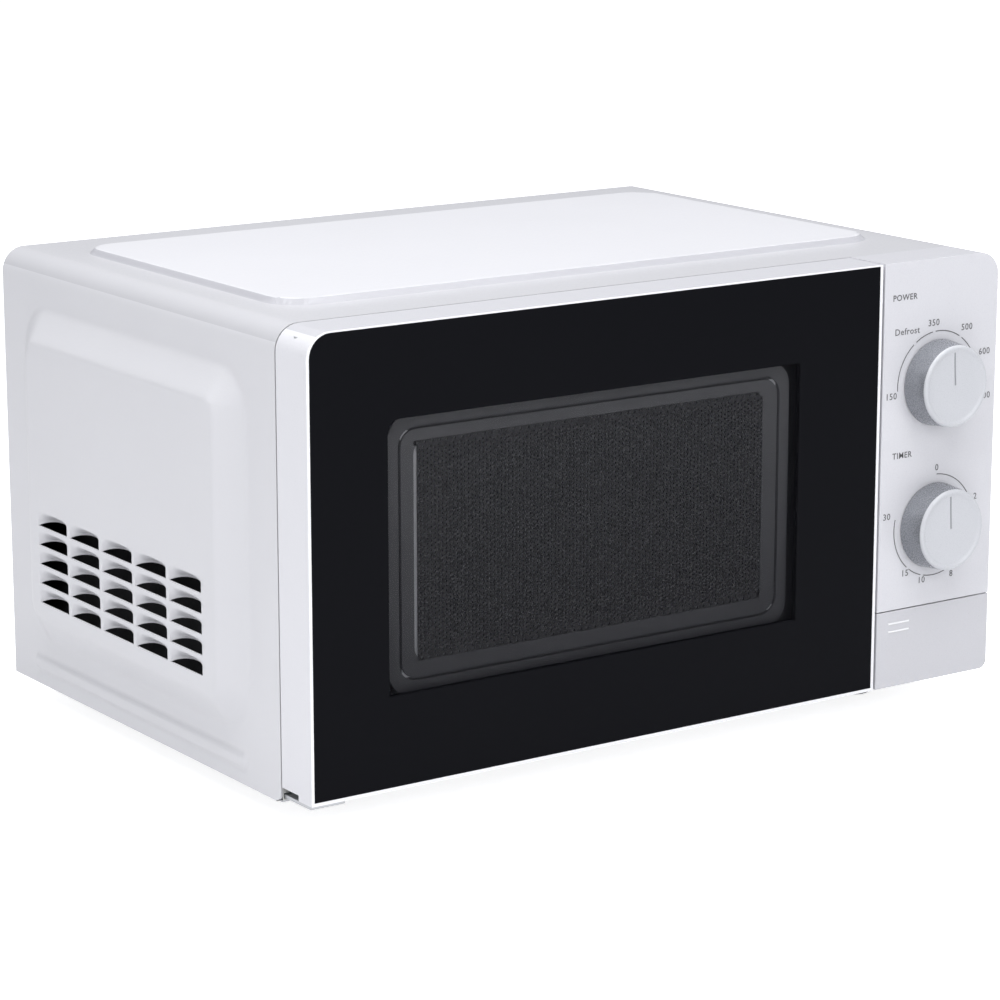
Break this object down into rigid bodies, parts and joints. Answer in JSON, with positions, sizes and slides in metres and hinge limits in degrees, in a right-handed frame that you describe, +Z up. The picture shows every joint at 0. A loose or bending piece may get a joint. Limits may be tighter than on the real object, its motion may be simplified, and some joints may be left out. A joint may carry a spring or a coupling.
{
  "type": "microwave oven",
  "caption": "Free-standing white microwave oven with a black glass side-hinged door, two control dials, a push release button, raised louvred side and a glass turntable.",
  "frame": {"origin": "on the ground, under the middle of the oven over its dials and cord gland", "axes": "+Z up, +X to the right seen from the front, +Y from the front to the back"},
  "size_m": [0.46, 0.338, 0.258],
  "materials": {
    "white_paint": "satin",
    "grey_paint": "satin",
    "zinc_steel": "satin",
    "black_steel": "satin",
    "white_plastic": "gloss",
    "inner_plastic": "matt",
    "black_plastic": "matt",
    "black_glass": "polished",
    "clear_glass": "polished",
    "clear_film": "polished",
    "rubber": "matt",
    "aluminium": "satin",
    "copper_wire": "enamelled",
    "mica": "matt"
  },
  "bodies": {
    "cabinet": {"outer_cover": "white_paint", "base_plate": "zinc_steel", "feet": "rubber", "foot_screws": "zinc_steel", "rear_panel": "zinc_steel", "cord_gland": "black_plastic", "cover_screws": "zinc_steel", "front_plate": "grey_paint", "cavity": "grey_paint", "waveguide_cover": "mica", "turntable_motor": "zinc_steel", "lower_hinge": "zinc_steel", "upper_hinge": "zinc_steel", "hinge_screws": "zinc_steel", "control_panel": "white_plastic", "power_switch": "inner_plastic", "timer_unit": "inner_plastic", "interlock_bracket": "inner_plastic", "door_switches": "black_plastic", "button_spring": "zinc_steel", "waveguide": "zinc_steel", "magnetron_body": "zinc_steel", "magnetron_fins": "aluminium", "magnetron_antenna": "zinc_steel", "transformer_core": "black_steel", "transformer_windings": "copper_wire", "hv_capacitor": "aluminium", "capacitor_strap": "zinc_steel", "hv_diode": "black_plastic", "fan_shroud": "inner_plastic", "fan_motor": "black_steel", "air_duct": "inner_plastic", "lamp_socket": "inner_plastic", "lamp_bulb": "clear_glass", "thermal_cutout": "black_plastic", "noise_filter": "black_plastic"},
    "door": {"door_frame": "white_plastic", "door_glass": "black_glass", "door_screen": "black_steel", "inner_window": "clear_film", "choke_cover": "black_plastic", "latch_guides": "black_plastic", "latch_spring": "zinc_steel"},
    "latch": {"door_latch": "black_plastic"},
    "power_dial": {"power_knob": "white_plastic", "power_shaft": "zinc_steel"},
    "timer_dial": {"timer_knob": "white_plastic", "timer_shaft": "zinc_steel"},
    "button": {"release_button": "white_plastic"},
    "lever": {"release_lever": "inner_plastic"},
    "hub": {"turntable_hub": "inner_plastic"},
    "plate": {"glass_turntable": "clear_glass"},
    "ring": {"roller_ring": "inner_plastic"},
    "roller_a": {"roller_1": "inner_plastic"},
    "roller_b": {"roller_2": "inner_plastic"},
    "roller_c": {"roller_3": "inner_plastic"},
    "fan": {"fan_blade": "black_plastic"}
  },
  "joints": [
    {"name": "door_hinge", "type": "hinge", "parent": "cabinet", "child": "door", "pos_m": [-0.214, -0.138, 0.14], "axis": [0, 0, -1], "range_deg": [0, 100]},
    {"name": "latch_lift", "type": "slide", "parent": "door", "child": "latch", "axis": [0, 0, 1], "range_m": [0, 0.004], "deforming": ["latch_spring"]},
    {"name": "power_knob_turn", "type": "hinge", "parent": "cabinet", "child": "power_dial", "pos_m": [0.178, -0.145, 0.1872], "axis": [0, 1, 0], "range_deg": [-95, 112]},
    {"name": "timer_knob_turn", "type": "hinge", "parent": "cabinet", "child": "timer_dial", "pos_m": [0.178, -0.145, 0.108], "axis": [0, 1, 0], "range_deg": [0, 282]},
    {"name": "button_press", "type": "slide", "parent": "cabinet", "child": "button", "axis": [0, 1, 0], "range_m": [0, 0.005], "stiffness_N_per_m": 600, "deforming": ["button_spring"]},
    {"name": "lever_turn", "type": "hinge", "parent": "cabinet", "child": "lever", "pos_m": [0.134, -0.113, 0.058], "axis": [1, 0, 0], "range_deg": [0, 14]},
    {"name": "turntable_spin", "type": "hinge", "parent": "cabinet", "child": "hub", "pos_m": [-0.05, 0.0165, 0.04], "axis": [0, 0, 1], "continuous": true},
    {"name": "plate_lift", "type": "slide", "parent": "hub", "child": "plate", "axis": [0, 0, 1], "range_m": [0, 0.06]},
    {"name": "ring_spin", "type": "hinge", "parent": "cabinet", "child": "ring", "pos_m": [-0.05, 0.0165, 0.0423], "axis": [0, 0, 1], "continuous": true},
    {"name": "fan_spin", "type": "hinge", "parent": "cabinet", "child": "fan", "pos_m": [0.162, 0.145, 0.105], "axis": [0, 1, 0], "continuous": true},
    {"name": "roller_a_spin", "type": "hinge", "parent": "ring", "child": "roller_a", "pos_m": [0.04, 0.0165, 0.0423], "axis": [1, 0, 0], "continuous": true},
    {"name": "roller_b_spin", "type": "hinge", "parent": "ring", "child": "roller_b", "pos_m": [-0.095, 0.09444, 0.0423], "axis": [-0.5, 0.866, 0], "continuous": true},
    {"name": "roller_c_spin", "type": "hinge", "parent": "ring", "child": "roller_c", "pos_m": [-0.095, -0.06144, 0.0423], "axis": [-0.5, -0.866, 0], "continuous": true}
  ],
  "couplings": [
    {"joint": "lever_turn", "follows": "button_press", "rad_per_m": 40},
    {"joint": "latch_lift", "follows": "button_press", "ratio": 0.8},
    {"joint": "ring_spin", "follows": "turntable_spin", "ratio": 0.5},
    {"joint": "roller_a_spin", "follows": "turntable_spin", "ratio": -2.8125},
    {"joint": "roller_b_spin", "follows": "turntable_spin", "ratio": -2.8125},
    {"joint": "roller_c_spin", "follows": "turntable_spin", "ratio": -2.8125}
  ]
}
